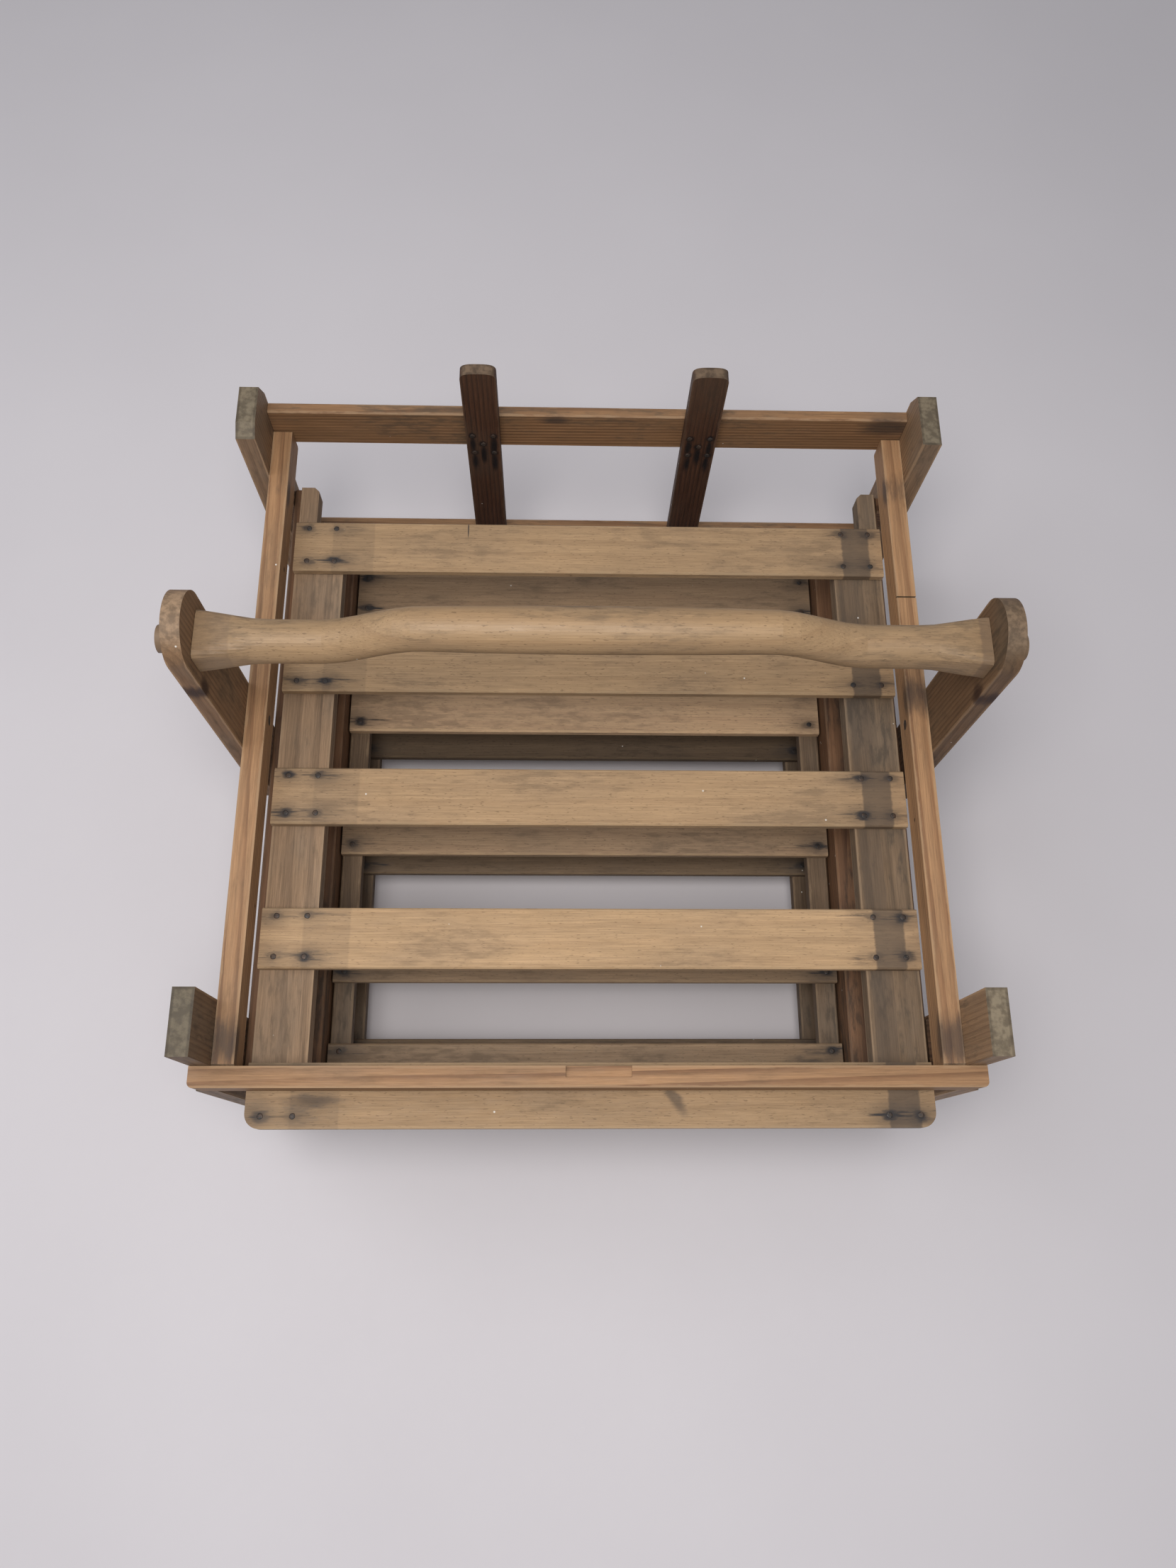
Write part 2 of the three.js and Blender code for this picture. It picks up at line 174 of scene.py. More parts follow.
def style(**changes):
    """How a kind of wood looks. Lengths are in metres, colours are linear."""
    base = dict(
        light=(0.37, 0.205, 0.10),
        dark=(0.185, 0.085, 0.038),
        worn=(0.46, 0.30, 0.17),
        grey=(0.21, 0.15, 0.10),
        stain=(0.03, 0.026, 0.026),
        band_tone=(0.085, 0.062, 0.046),
        end_tone=(0.20, 0.155, 0.105),
        rim=0.85,
        ring_step=0.0048,
        ring_share=0.85,
        pith=(-0.045, -0.02),
        wander=0.006,
        streak=0.17,
        fibre=0.25,
        flecks=0.0,
        weather=0.18,
        grime=0.22,
        wear=0.5,
        rough=0.62,
        relief=0.3,
    )
    base.update(changes)
    return SimpleNamespace(**base)


def changed(look, **changes):
    return SimpleNamespace(**{**vars(look), **changes})


PINE = style()
REAR_PINE = style(light=(0.26, 0.14, 0.066), dark=(0.10, 0.042, 0.018), worn=(0.45, 0.29, 0.165), grime=0.6)
POST_PINE = style(
    light=(0.25, 0.15, 0.08),
    dark=(0.13, 0.068, 0.034),
    end_tone=(0.15, 0.125, 0.085),
    rim=0.6,
    weather=0.5,
    grime=0.6,
)
INNER_PINE = style(
    light=(0.19, 0.095, 0.047),
    dark=(0.06, 0.026, 0.014),
    worn=(0.26, 0.16, 0.095),
    grey=(0.12, 0.085, 0.06),
    end_tone=(0.13, 0.095, 0.06),
    grime=0.7,
)
ARM_WOOD = style(
    light=(0.18, 0.10, 0.05),
    dark=(0.095, 0.048, 0.022),
    grey=(0.13, 0.088, 0.053),
    end_tone=(0.185, 0.125, 0.078),
    rim=1.0,
    weather=0.5,
    grime=0.6,
    wear=0.35,
)
BEECH = style(
    light=(0.43, 0.28, 0.152),
    dark=(0.33, 0.205, 0.108),
    worn=(0.50, 0.35, 0.205),
    grey=(0.25, 0.175, 0.115),
    end_tone=(0.20, 0.145, 0.10),
    ring_step=0.013,
    ring_share=0.4,
    pith=(-0.02, -0.03),
    wander=0.012,
    streak=0.07,
    fibre=0.24,
    flecks=0.6,
    weather=0.22,
    grime=0.3,
    rough=0.66,
    relief=0.18,
)
LOWER_BEECH = changed(BEECH, light=(0.33, 0.22, 0.13), dark=(0.24, 0.15, 0.088), weather=0.3, grime=0.4)
STILE_WOOD = style(
    light=(0.27, 0.175, 0.105),
    dark=(0.125, 0.078, 0.047),
    worn=(0.40, 0.28, 0.175),
    grey=(0.185, 0.145, 0.108),
    ring_step=0.0095,
    ring_share=0.6,
    pith=(-0.012, -0.05),
    wander=0.01,
    streak=0.16,
    fibre=0.3,
    weather=0.4,
    grime=0.4,
    wear=0.35,
    rough=0.78,
    relief=0.5,
)
RIGHT_STILE = changed(STILE_WOOD, light=(0.175, 0.115, 0.068), dark=(0.075, 0.05, 0.031), grime=0.75)
LOWER_STILE = changed(STILE_WOOD, light=(0.15, 0.10, 0.062), dark=(0.07, 0.045, 0.029), grime=0.7)
DARK_WOOD = style(
    light=(0.068, 0.028, 0.014),
    dark=(0.012, 0.005, 0.004),
    worn=(0.15, 0.09, 0.055),
    grey=(0.10, 0.062, 0.04),
    stain=(0.004, 0.003, 0.004),
    end_tone=(0.14, 0.095, 0.06),
    ring_step=0.0046,
    ring_share=0.8,
    fibre=0.5,
    weather=0.35,
    grime=0.4,
    wear=0.35,
    relief=0.5,
)
GRIP_WOOD = style(
    light=(0.33, 0.215, 0.115),
    dark=(0.24, 0.145, 0.074),
    worn=(0.50, 0.36, 0.22),
    grey=(0.21, 0.15, 0.10),
    end_tone=(0.12, 0.08, 0.05),
    band_tone=(0.15, 0.10, 0.066),
    ring_step=0.016,
    ring_share=0.4,
    wander=0.014,
    streak=0.07,
    fibre=0.17,
    flecks=0.6,
    weather=0.2,
    grime=0.4,
    wear=0.0,
    rough=0.5,
    relief=0.22,
)


def spot(along, across, size, strength=1.0, reach=1.6, lean=0.0, knot=False):
    """A stain or knot on a board, placed from its low end and low edge. reach is how much longer
    it is along the grain than across, and lean how far it slants: along the grain per step across."""
    return SimpleNamespace(
        along=along,
        across=across,
        size=size,
        strength=strength,
        reach=reach,
        lean=lean,
        knot=knot,
    )


def band(start, end, strength, across=False):
    """A darker band straight across a board, or a darker strip along it when across is set."""
    return SimpleNamespace(start=start, end=end, strength=strength, across=across)


class Board:
    """A board's own coordinates within its material, in metres: a from its low end along the
    grain, u across its wider side and v through it. It also has the distances from its ends and
    edges, and the noises that break up every mark."""

    def __init__(self, net, node, grain, seed):
        low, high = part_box(node)
        sizes = high - low
        along = "xyz".index(grain)
        others = [i for i in range(3) if i != along]
        across, thick = sorted(others, key=lambda i: -sizes[i])
        coordinates = net.put("ShaderNodeTexCoord").outputs
        self.net = net
        self.seed = seed
        self.drift = (seed * 1.37, seed * 0.71, seed * 0.43)
        self.place = coordinates["Object"]
        self.facing = net.put("ShaderNodeSeparateXYZ", {0: coordinates["Normal"]}).outputs[along]
        split = net.put("ShaderNodeSeparateXYZ", {0: self.place}).outputs
        self.local = [net.math("SUBTRACT", split[i], low[i]) for i in (along, across, thick)]
        self.a, self.u, self.v = self.local
        self.end = self.margin(self.a, sizes[along])
        self.edge_u = self.margin(self.u, sizes[across])
        self.edge_v = self.margin(self.v, sizes[thick])
        self.fine = self.noise(FINE_GRID, detail=4, roughness=0.62)
        self.slow = self.noise(SLOW_GRID, detail=4)
        self.ragged = net.math("MULTIPLY_ADD", self.fine, 1.7, -0.85)

    def margin(self, value, size):
        """The distance from the nearer of a side's two ends."""
        return self.net.math("MINIMUM", value, self.net.math("SUBTRACT", size, value))

    def noise(self, grid, **settings):
        """Noise stretched along the grain, and shifted so that no two boards are alike."""
        return self.net.noise(self.net.scaled(self.local, grid, self.drift), **settings)


def spot_mask(board, spots):
    """How strongly any of the spots covers a point of the board, from 0 to 1."""
    net = board.net
    masks = []
    for s in spots:
        length = s.size * s.reach
        slanted = net.math("MULTIPLY_ADD", board.u, -s.lean, board.a) if s.lean else board.a
        middle = s.along - s.lean * s.across
        near_a = net.math("MULTIPLY_ADD", slanted, 1 / length, -middle / length)
        near_u = net.math("MULTIPLY_ADD", board.u, 1 / s.size, -s.across / s.size)
        square = net.math("MULTIPLY", near_u, near_u)
        square = net.math("MULTIPLY_ADD", near_a, near_a, square)
        distance = net.math("ADD", net.math("SQRT", square), board.ragged)
        masks.append(net.remap(distance, 0.4, 1.5, s.strength, 0.0))
    return net.fold("MAXIMUM", masks)


def band_mask(board, bands):
    """How strongly any of the bands covers a point of the board, from 0 to 1."""
    net = board.net
    edge = 1.2 * MM
    masks = []
    for b in bands:
        shifted = net.math("MULTIPLY_ADD", board.ragged, 2 * MM, board.u if b.across else board.a)
        rising = net.remap(shifted, b.start - edge, b.start + edge, 0.0, b.strength)
        falling = net.remap(shifted, b.end - edge, b.end + edge, 1.0, 0.0)
        masks.append(net.math("MULTIPLY", rising, falling))
    return net.fold("MAXIMUM", masks)


def distance_to_nearest(net, value, places):
    distances = [net.math("ABSOLUTE", net.math("SUBTRACT", value, place)) for place in places]
    return net.fold("MINIMUM", distances)


def nail_stains(board, nails):
    """Blue-black blots round the nails of a slat, and streaks from them along the grain. The same
    nails repeat at both ends, and two noises make each of them differ."""
    net = board.net
    from_column = distance_to_nearest(net, board.end, nails.columns)
    from_row = distance_to_nearest(net, board.u, nails.rows)
    each = board.noise(NAIL_TONE_GRID, detail=1)
    each = net.remap(each, 0.36, 0.6, 0.6, 1.15, smooth=False)

    def around(reach_a, reach_u, inner, outer, strength):
        near_a = net.math("MULTIPLY", from_column, 1 / reach_a)
        near_u = net.math("MULTIPLY", from_row, 1 / reach_u)
        square = net.math("MULTIPLY_ADD", near_a, near_a, net.math("MULTIPLY", near_u, near_u))
        distance = net.math("ADD", net.math("SQRT", square), board.ragged)
        return net.remap(distance, inner, outer, strength, 0.0)

    blot = around(11 * MM, 6.6 * MM, 0.3, 1.35, 0.88)
    halo = around(22 * MM, 12 * MM, 0.2, 1.5, 0.42)
    lines = net.remap(board.noise(NAIL_STREAK_GRID, detail=2), 0.46, 0.62)
    streak = net.math("MULTIPLY", around(34 * MM, 6 * MM, 0.2, 1.3, 0.9), lines)
    return net.math("MULTIPLY", net.fold("MAXIMUM", [blot, halo, streak]), each, clamp=True)


def rings(board, look):
    """The dark latewood of rings that turn about a pith beside the board, from 0 to 1."""
    net = board.net
    wander = board.noise(WANDER_GRID, detail=1.0)
    wander = net.math("MULTIPLY_ADD", wander, 2 * look.wander, -look.wander)
    pith_u, pith_v = look.pith
    from_u = net.math("SUBTRACT", board.u, pith_u)
    from_v = net.math("SUBTRACT", board.v, pith_v)
    square = net.math("MULTIPLY_ADD", from_u, from_u, net.math("MULTIPLY", from_v, from_v))
    radius = net.math("ADD", net.math("SQRT", square), wander)
    taper = 0.012 * math.sin(board.seed)
    radius = net.math("MULTIPLY_ADD", board.a, taper, radius)
    phase = net.math("FRACT", net.math("MULTIPLY_ADD", radius, 1 / look.ring_step, board.seed))
    rising = net.remap(phase, LATE_START, LATE_END)
    ring = net.math("MULTIPLY", rising, net.remap(phase, LATE_END, 1.0, 1.0, 0.0))
    patch = net.remap(board.noise(PATCH_GRID, detail=2), 0.3, 0.7, 0.4, 1.0)
    return net.math("MULTIPLY", ring, patch)


def growth(board, look):
    """The clean wood's colour and relief: rings, streaks, fibres and flecks."""
    net = board.net
    ring = rings(board, look)
    colour = net.blend(net.math("MULTIPLY", ring, look.ring_share), look.light, look.dark)

    streak = board.noise(STREAK_GRID, detail=3, roughness=0.7)
    streak = net.remap(streak, 0.28, 0.72, 1 - look.streak, 1 + look.streak, smooth=False)
    fibre = board.noise(FIBRE_GRID, detail=4, roughness=0.8)
    grain = net.remap(fibre, 0.3, 0.7, 1 - look.fibre, 1 + look.fibre, smooth=False)
    tone = net.remap(board.noise(TONE_GRID, detail=3), 0.25, 0.75, 0.89, 1.1, smooth=False)
    colour = net.shaded(colour, net.fold("MULTIPLY", [streak, grain, tone]))
    if look.flecks:
        fleck = board.noise(FLECK_GRID, detail=1, roughness=0.4)
        fleck = net.remap(fleck, 0.64, 0.74, 0.0, look.flecks)
        colour = net.blend(fleck, colour, dimmed(look.dark, 0.55))
    height = net.math("MULTIPLY_ADD", ring, 0.3, fibre)
    return colour, net.math("MULTIPLY", height, look.relief)


def weathered(board, look, colour):
    """Greyed patches, more of them near the ends, and dirt rubbed into the grain."""
    net = board.net
    patches = net.remap(board.slow, 0.42, 0.66, 0.0, look.weather)
    near_end = net.remap(board.end, 0.0, 60 * MM, 0.5 * look.weather, 0.0)
    colour = net.blend(net.math("ADD", patches, near_end), colour, look.grey)
    both = net.math("MULTIPLY", board.fine, board.slow)
    grime = net.remap(both, 0.25, 0.40, 0.0, look.grime)
    return net.blend(grime, colour, dimmed(look.grey, 0.4))


def rubbed(board, look, colour):
    """Long edges that hands have rubbed pale."""
    net = board.net
    edge = net.math("ADD", board.edge_u, board.edge_v)
    reach = net.math("MULTIPLY_ADD", board.fine, 6 * MM, -1 * MM)
    worn = net.remap(net.math("SUBTRACT", edge, reach), -1.2 * MM, 0.6 * MM, look.wear, 0.0)
    return net.blend(worn, colour, look.worn)


def end_grained(board, look, colour):
    """Sawn ends that have gone grey, darker towards their rims."""
    net = board.net
    cut = net.remap(net.math("ABSOLUTE", board.facing), 0.45, 0.9, 0.0, 0.85)
    inset = net.math("MINIMUM", board.edge_u, board.edge_v)
    rim = net.remap(inset, 1.5 * MM, 3.2 * MM, look.rim, 1.0)
    coarse = net.noise(board.place, END_GRAIN_GRID, 3, 0.6)
    share = net.remap(net.math("ADD", coarse, board.fine), 0.8, 1.2)
    face = net.blend(share, dimmed(look.end_tone, 0.62), dimmed(look.end_tone, 1.3))
    return net.blend(cut, colour, net.shaded(face, rim))


def marked(board, look, marks, colour):
    """The marks that belong to this one board, on top of everything else."""
    net = board.net
    if marks.bands:
        colour = net.blend(band_mask(board, marks.bands), colour, look.band_tone)
    if marks.nails:
        colour = net.blend(nail_stains(board, marks.nails), colour, look.stain)
    for knot, tint in ((False, look.stain), (True, KNOT_BROWN)):
        spots = [s for s in marks.spots if s.knot == knot]
        if spots:
            colour = net.blend(spot_mask(board, spots), colour, tint)
    return colour


def dusted(board, colour):
    """Sparse white specks: a few of the cells have one."""
    net = board.net
    where = net.put("ShaderNodeMapping", {"Vector": board.place, "Location": board.drift}).outputs[0]
    cells = net.put("ShaderNodeTexVoronoi", {"Vector": where, "Scale": DUST_GRID})
    random_value = net.put("ShaderNodeSeparateColor", {0: cells.outputs["Color"]}).outputs[0]
    chosen = net.math("GREATER_THAN", random_value, DUST_CHOSEN)
    near = net.remap(cells.outputs["Distance"], *DUST_RADIUS, DUST_STRENGTH, 0.0)
    return net.blend(net.math("MULTIPLY", near, chosen), colour, DUST_WHITE)


def wood(node, grain, look, seed, marks):
    """A board's material. Its grain runs along one axis, and wear, dirt and stains are placed from
    the board's own edges."""
    material = bpy.data.materials.new("wood_" + node)
    material.use_nodes = True
    net = Net(material.node_tree)
    shader = material.node_tree.nodes["Principled BSDF"]
    board = Board(net, node, grain, seed)
    colour, height = growth(board, look)
    colour = weathered(board, look, colour)
    if look.wear:
        colour = rubbed(board, look, colour)
    colour = end_grained(board, look, colour)
    colour = marked(board, look, marks, colour)
    colour = dusted(board, colour)

    net.feed(shader.inputs["Base Color"], colour)
    gloss = net.math("MULTIPLY_ADD", board.fine, 0.35, look.rough - 0.17)
    net.feed(shader.inputs["Roughness"], gloss)
    shader.inputs["Specular IOR Level"].default_value = 0.35
    height = net.math("MULTIPLY_ADD", board.fine, 0.3, height)
    bump = net.put("ShaderNodeBump", {"Strength": 0.45, "Distance": 0.7 * MM, "Height": height})
    net.feed(shader.inputs["Normal"], bump.outputs[0])
    return material


IRON_BLACK = (0.035, 0.032, 0.031)
IRON_BROWN = (0.11, 0.06, 0.035)
IRON_PALE = (0.17, 0.14, 0.11)


def iron(name, rust):
    """Dark oxidised iron with patches of rust."""
    material = bpy.data.materials.new(name)
    material.use_nodes = True
    net = Net(material.node_tree)
    shader = material.node_tree.nodes["Principled BSDF"]
    place = net.put("ShaderNodeTexCoord").outputs["Object"]
    coarse = net.noise(place, 160, 4, 0.65)
    fine = net.noise(place, 900, 3)
    colour = net.blend(net.remap(coarse, 0.4, 0.65, 0.0, rust), IRON_BLACK, IRON_BROWN)
    colour = net.blend(net.remap(fine, 0.55, 0.72, 0.0, 0.6), colour, IRON_PALE)
    net.feed(shader.inputs["Base Color"], colour)
    net.feed(shader.inputs["Roughness"], net.remap(fine, 0.3, 0.7, 0.45, 0.75))
    shader.inputs["Metallic"].default_value = 0.4
    bump = net.put("ShaderNodeBump", {"Strength": 0.4, "Distance": 0.5 * MM, "Height": coarse})
    net.feed(shader.inputs["Normal"], bump.outputs[0])
    return material


# ---- what each board wears ----------------------------------------------------------------

# How far apart in the noises two boards that follow each other are.
SEED_STEP = 0.618

# The axis that a board's grain runs along, and its kind of wood. The first name found in the
# board's own name counts, so the order matters.
GRAIN = {
    "post": "z",
    "back_slat": "z",
    "handle_arm": "z",
    "corner_block": "z",
    "crossbar": "x",
    "grip_bar": "x",
    "_slat_": "x",
    "runner_block": "x",
    "_rail_": "y",
    "runner": "y",
    "ledger": "y",
    "stile": "y",
}
LOOKS = {
    "top_tray_stile_left": STILE_WOOD,
    "top_tray_stile_right": RIGHT_STILE,
    "stile": LOWER_STILE,
    "top_tray_slat": BEECH,
    "middle_tray_slat": LOWER_BEECH,
    "bottom_tray_slat": LOWER_BEECH,
    "back_slat": DARK_WOOD,
    "grip_bar": GRIP_WOOD,
    "handle_arm": ARM_WOOD,
    "post": POST_PINE,
    "front_crossbar": PINE,
    "crossbar": REAR_PINE,
    "upper_rail": PINE,
}
# How much darker or paler than its kind a single board is. These numbers hold each board's own tone and
# also painted light and shade, such as the darker rear top slat and the darker slats deep down in the
# bottom tray.
TONE_AND_SHADE_BY_BOARD = {
    "top_tray_slat_1": 0.8,
    "top_tray_slat_5": 0.87,
    "top_tray_slat_3": 0.92,
    "top_tray_slat_4": 0.92,
    "middle_tray_slat_4": 1.65,
    "middle_tray_slat_1": 0.8,
    "middle_tray_slat_2": 0.77,
    "bottom_tray_slat_4": 0.35,
    "bottom_tray_slat": 0.5,
    "front_crossbar": 0.85,
    "upper_rail_left": 0.9,
    "front_post_left": 0.75,
    "front_post_right": 1.15,
    "handle_arm_right": 0.9,
    "handle_arm_left": 1.34,
}


def match(table, name, otherwise):
    """The first entry of a table whose key is part of the name."""
    for part, value in table.items():
        if part in name:
            return value
    return otherwise


def toned(look, tone):
    """The same look, darker or paler."""
    names = ("light", "dark", "worn", "grey", "end_tone")
    return changed(look, **{n: dimmed(getattr(look, n), tone) for n in names})


# Nails in a tray's slats, as distances from the slat's ends and from its front edge.
TOP_NAIL_COLUMNS = (14 * MM, 43 * MM)
INNER_NAIL_COLUMNS = (11 * MM,)
NAIL_ROWS = (11 * MM, 50 * MM)
NAIL_RADIUS = 2.8 * MM

# Nails in a back slat, in millimetres to the right of its centre and above the rail tops.
BACK_SLAT_NAILS = ((-11, 12), (11, 12), (0, -2), (-10, -17), (11, -17))

# Nails down a post, in millimetres from the rail tops. The rear one of a pair is a little lower.
POST_NAIL_HEIGHTS = (-15, -77, -170, -245)
POST_NAIL_INSET = 5
POST_NAIL_STEP = 6


def columns_of(slat):
    return TOP_NAIL_COLUMNS if slat.startswith("top_tray") else INNER_NAIL_COLUMNS


def slat_nails(node):
    """The place of each nail head on one slat."""
    low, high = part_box(node)
    places = []
    for inset in columns_of(node):
        for x in (low.x + inset, high.x - inset):
            places += [Vector((x, low.y + row, high.z)) for row in NAIL_ROWS]
    return places


def slat_bands(node):
    """A dark band over the right-hand stile and a fainter one inside the left-hand stile."""
    low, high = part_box(node)
    width = high.x - low.x
    return [band(width - 43 * MM, width - 14 * MM, 0.72), band(40 * MM, 84 * MM, 0.2)]


def stile_strips():
    """A dark strip and a scored line along the right-hand stile of the top tray."""
    strip = band(4 * MM, 24 * MM, 0.45, across=True)
    line = band(24 * MM, 25 * MM, 0.8, across=True)
    return [strip, line]


def grip_bands():
    """The darker ends of the grip."""
    length = 2 * GRIP_REACH
    left_end = band(-1.0, 32 * MM, 0.75)
    left_neck = band(32 * MM, 62 * MM, 0.3)
    right_end = band(length - 42 * MM, 1.0, 0.6)
    return [left_end, left_neck, right_end]


# Knots and dark stains that belong to one board, in millimetres from its low corner: along the
# grain, across the board, and the size.
ARM_KNOTS = ((304, 4, 9), (120, 40, 4))
KNOTS = {
    "upper_rail_right": ((439.7, 9, 3.2), (234.7, 16, 1.6)),
    "upper_rail_left": ((149.7, 6, 1.8), (504.7, 12, 2.0)),
    "handle_arm_left": ARM_KNOTS,
    "handle_arm_right": ARM_KNOTS,
    "rear_crossbar": ((232, 47, 4),),
}
STAINS = {
    "upper_rail_right": ((21.7, 27, 9), (599.7, 24, 7), (359.7, 26, 8)),
    "upper_rail_left": ((19.7, 26, 8), (589.7, 22, 6)),
    "rear_crossbar": ((655, 40, 12), (300, 45, 6)),
    "middle_tray_slat_1": ((492, 32, 11), (505, 15, 7)),
}


def fixed_spots(name):
    """The knots and stains of one board."""
    spots = [spot(a * MM, u * MM, s * MM, 0.95, 1.3, knot=True) for a, u, s in KNOTS.get(name, ())]
    spots += [spot(a * MM, u * MM, s * MM, 0.7, 2.4) for a, u, s in STAINS.get(name, ())]
    if name == "top_tray_slat_5":
        crack = spot(183 * MM, 50 * MM, 10 * MM, 0.9, 0.06)
        spots.append(crack)
    if name == "top_tray_slat_1":
        scratch = spot(388 * MM, 25 * MM, 12 * MM, 0.6, 0.5, lean=-0.6)
        damp = spot(60 * MM, 24 * MM, 6 * MM, 0.6, 3.5)
        spots += [scratch, damp]
    return spots


def marks_of(name):
    """Everything that one board wears over its clean wood."""
    marks = SimpleNamespace(spots=fixed_spots(name), bands=[], nails=None)
    if "tray_slat" in name:
        marks.nails = SimpleNamespace(columns=columns_of(name), rows=NAIL_ROWS)
    if name.startswith("top_tray_slat"):
        marks.bands = slat_bands(name)
    if name.startswith("back_slat"):
        marks.spots += back_slat_stains(name)
    if name == "top_tray_stile_right":
        marks.bands = stile_strips()
    if name == "grip_bar":
        marks.bands = grip_bands()
    return marks


def paint_boards():
    for index, name in enumerate(sorted(NODES)):
        slots = NODES[name].data.materials
        slots.clear()
        if name.startswith("pivot_bolt"):
            slots.append(iron("iron_" + name, 0.6))
            continue
        # The board's tone from this table also paints light and shade on some boards.
        look = toned(match(LOOKS, name, INNER_PINE), match(TONE_AND_SHADE_BY_BOARD, name, 1.0))
        grain = match(GRAIN, name, "y")
        slots.append(wood(name, grain, look, index * SEED_STEP, marks_of(name)))


# ---- nails --------------------------------------------------------------------------------


def back_slat_nails(node):
    """Nail places on a back slat's front face, set out from its centre and the rail tops."""
    low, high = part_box(node)
    centre = (low.x + high.x) / 2
    return [Vector((centre + x * MM, low.y, RAIL_TOP + z * MM)) for x, z in BACK_SLAT_NAILS]


def back_slat_stains(node):
    """A black blot at each of the back slat's nails, and a streak that runs down from it."""
    low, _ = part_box(node)
    spots = []
    for place in back_slat_nails(node):
        across = place.x - low.x
        spots.append(spot(place.z - low.z, across, 4 * MM, 1.0, 1.3))
        spots.append(spot(place.z - low.z - 16 * MM, across, 3.2 * MM, 0.95, 5.0))
    return spots


# A nail head's outline: shares of its radius, and heights over the wood in millimetres.
HEAD_PROFILE = ((1.0, -0.3), (1.02, 0.15), (0.85, 0.4), (0.45, 0.52))
HEAD_SIDES = 14


def nail_head(bm, place, normal, rng):
    """A hammered nail head: a low uneven dome, sunk a little into the wood."""
    turn = Vector((0, 0, 1)).rotation_difference(normal).to_matrix()
    wobble = [rng.uniform(0.93, 1.06) for _ in range(HEAD_SIDES)]
    tilt = rng.uniform(-0.12, 0.12)
    rows = []
    for share, height in HEAD_PROFILE:
        row = []
        for i in range(HEAD_SIDES):
            angle = 2 * math.pi * i / HEAD_SIDES
            r = NAIL_RADIUS * share * wobble[i]
            x, y = r * math.cos(angle), r * math.sin(angle)
            row.append(bm.verts.new(place + turn @ Vector((x, y, height * MM + tilt * x))))
        rows.append(row)
    for lower, upper in zip(rows, rows[1:]):
        for i in range(HEAD_SIDES):
            j = (i + 1) % HEAD_SIDES
            bm.faces.new((lower[i], lower[j], upper[j], upper[i]))
    bm.faces.new(rows[-1])
    bm.faces.new(reversed(rows[0]))


def nail_set(name, body, places, material, rng):
    """One piece that holds all the nail heads of one body. places is a list of (point, normal)."""
    bm = bmesh.new()
    for place, normal in places:
        nail_head(bm, place, normal, rng)
    mesh = bpy.data.meshes.new(name)
    bm.to_mesh(mesh)
    bm.free()
    for polygon in mesh.polygons:
        polygon.use_smooth = True
    mesh.materials.append(material)
    piece = bpy.data.objects.new(name, mesh)
    bpy.context.scene.collection.objects.link(piece)
    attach(piece, body)
    return piece


def post_nails():
    """Pairs of nails down each post, driven into the corner block behind it."""
    places = []
    for post, sign in (("left", -1), ("right", 1)):
        normal = Vector((sign, 0, 0))
        for end in ("front", "rear"):
            low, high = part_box("%s_post_%s" % (end, post))
            x = high.x if sign > 0 else low.x
            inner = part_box("corner_block_%s_%s" % (end, post))
            y0 = inner[0].y + POST_NAIL_INSET * MM
            y1 = inner[1].y - POST_NAIL_INSET * MM
            for height in POST_NAIL_HEIGHTS:
                places.append((Vector((x, y0, RAIL_TOP + height * MM)), normal))
                places.append((Vector((x, y1, RAIL_TOP + (height - POST_NAIL_STEP) * MM)), normal))
    return places


def drive_nails():
    rng = random.Random(11)
    material = iron("nail_iron", 0.5)
    up = Vector((0, 0, 1))
    forward = Vector((0, -1, 0))
    for tray in ("top_tray", "middle_tray", "bottom_tray"):
        places = []
        for name in sorted(NODES):
            if name.startswith(tray + "_slat"):
                places += [(p, up) for p in slat_nails(name)]
        nail_set("nails_" + tray, tray, places, material, rng)
    places = post_nails()
    for name in ("back_slat_left", "back_slat_right"):
        places += [(p, forward) for p in back_slat_nails(name)]
    nail_set("nails_stand", "stand", places, material, rng)


# ---- edges --------------------------------------------------------------------------------


ARRIS = 0.5 * MM
ARRIS_ANGLE = math.radians(25)


def ease_edges():
    """Softens the arrises of every board, so that they catch the light."""
    for name, node in NODES.items():
        for polygon in node.data.polygons:
            polygon.use_smooth = name == "grip_bar"
        if name == "grip_bar" or name.startswith("pivot_bolt"):
            continue
        bevel = node.modifiers.new("arris", "BEVEL")
        bevel.width = ARRIS
        bevel.segments = 2
        bevel.limit_method = "ANGLE"
        bevel.angle_limit = ARRIS_ANGLE


# ---- setting ------------------------------------------------------------------------------


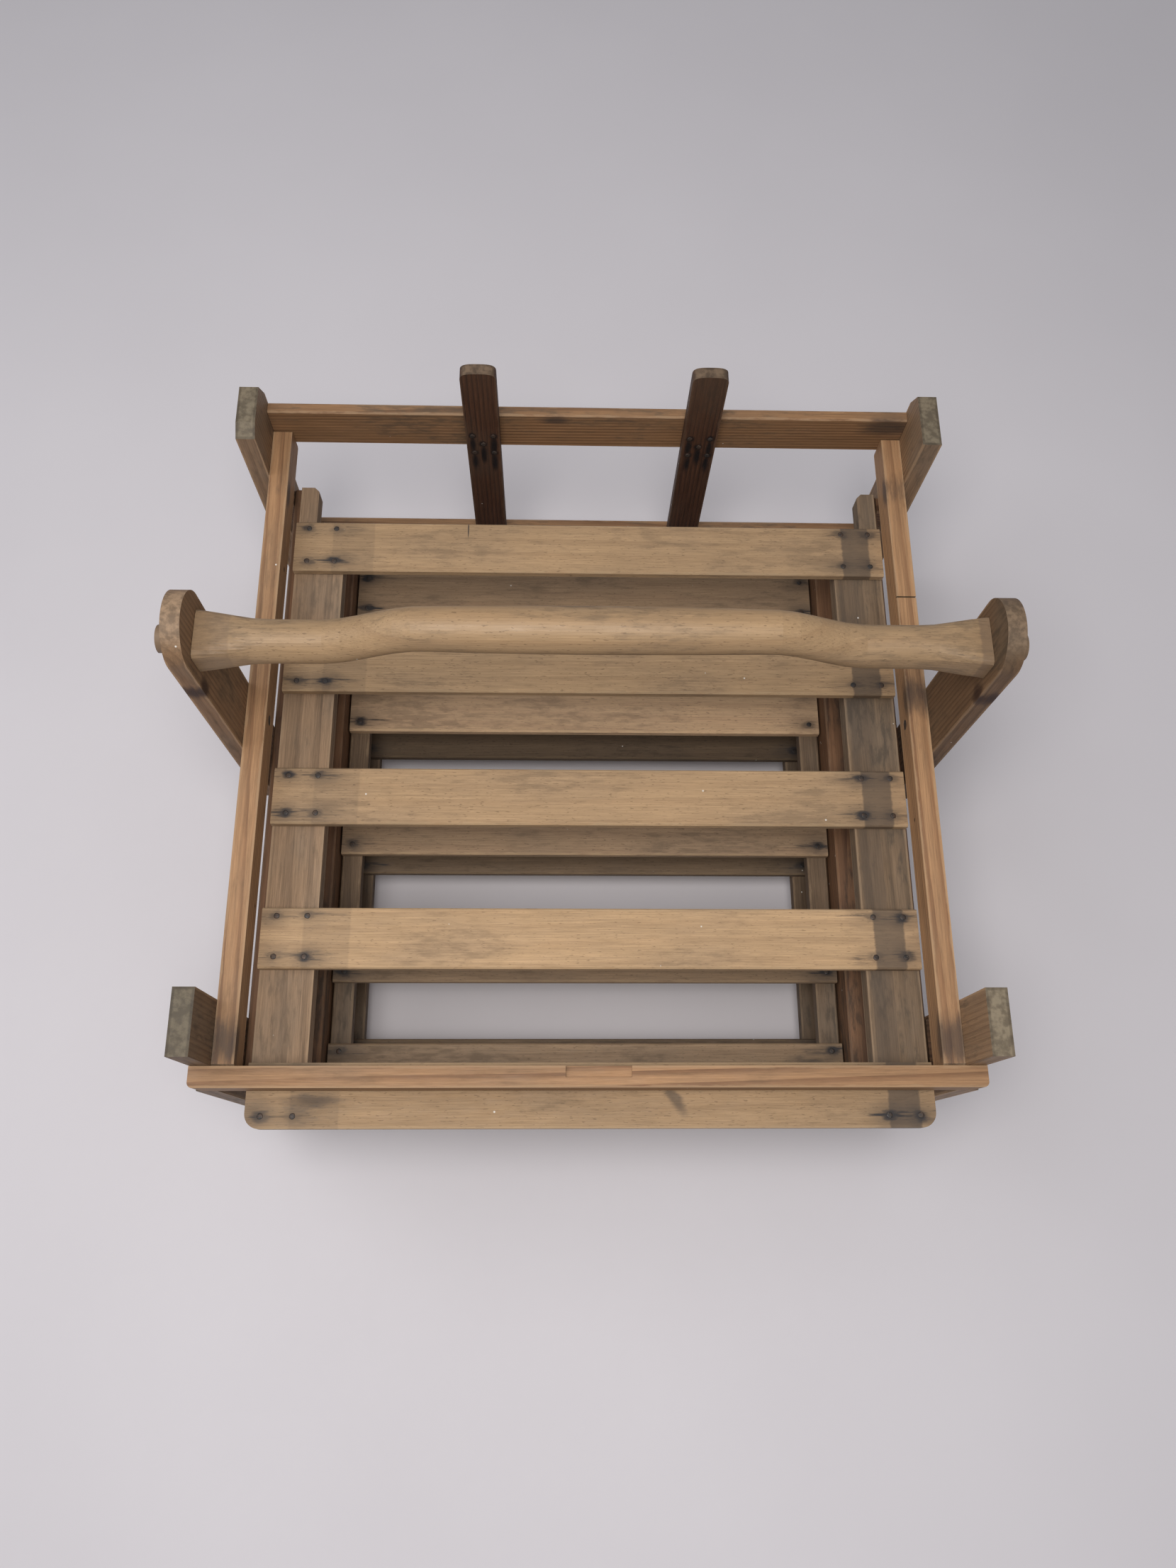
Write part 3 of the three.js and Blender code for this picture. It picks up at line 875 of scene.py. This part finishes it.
FLOOR_SIZE = 80
FLOOR_TONES = ((0.645, 0.615, 0.64), (0.70, 0.67, 0.695))


def floor():
    bpy.ops.mesh.primitive_plane_add(size=FLOOR_SIZE, location=(0, 0, 0))
    plane = bpy.context.object
    plane.name = "floor"
    material = bpy.data.materials.new("pale_floor")
    material.use_nodes = True
    net = Net(material.node_tree)
    shader = material.node_tree.nodes["Principled BSDF"]
    place = net.put("ShaderNodeTexCoord").outputs["Object"]
    net.feed(shader.inputs["Base Color"], net.blend(net.noise(place, 3, 3), *FLOOR_TONES))
    net.feed(shader.inputs["Roughness"], net.remap(net.noise(place, 60, 2), 0.3, 0.7, 0.8, 0.9))
    plane.data.materials.append(material)


def area_light(name, place, target, size, power, colour):
    data = bpy.data.lights.new(name, "AREA")
    data.shape = "DISK"
    data.size = size
    data.energy = power
    data.color = colour
    lamp = bpy.data.objects.new(name, data)
    lamp.location = place
    lamp.rotation_euler = (Vector(target) - Vector(place)).to_track_quat("-Z", "Y").to_euler()
    bpy.context.scene.collection.objects.link(lamp)


def lights():
    """A soft key light over the rack, a wider fill from its left, and an even sky."""
    world = bpy.data.worlds.new("studio")
    world.use_nodes = True
    background = world.node_tree.nodes["Background"]
    background.inputs["Color"].default_value = (0.93, 0.95, 1.0, 1.0)
    background.inputs["Strength"].default_value = 0.34
    bpy.context.scene.world = world
    area_light("key", (-0.15, -0.5, 1.95), (0, -0.02, 0.15), 0.8, 22, (1.0, 0.97, 0.94))
    area_light("fill", (-1.5, 0.2, 2.4), (0, 0, 0.2), 1.8, 17, (0.97, 0.98, 1.0))


def camera():
    data = bpy.data.cameras.new("camera")
    data.sensor_width = SENSOR_WIDTH
    data.lens = LENS
    eye = bpy.data.objects.new("camera", data)
    eye.location = EYE
    eye.rotation_euler = [math.radians(a) for a in EYE_TURN]
    bpy.context.scene.collection.objects.link(eye)
    bpy.context.scene.camera = eye


paint_boards()
ease_edges()
drive_nails()
floor()
lights()
camera()
bpy.context.scene.view_settings.view_transform = "Standard"
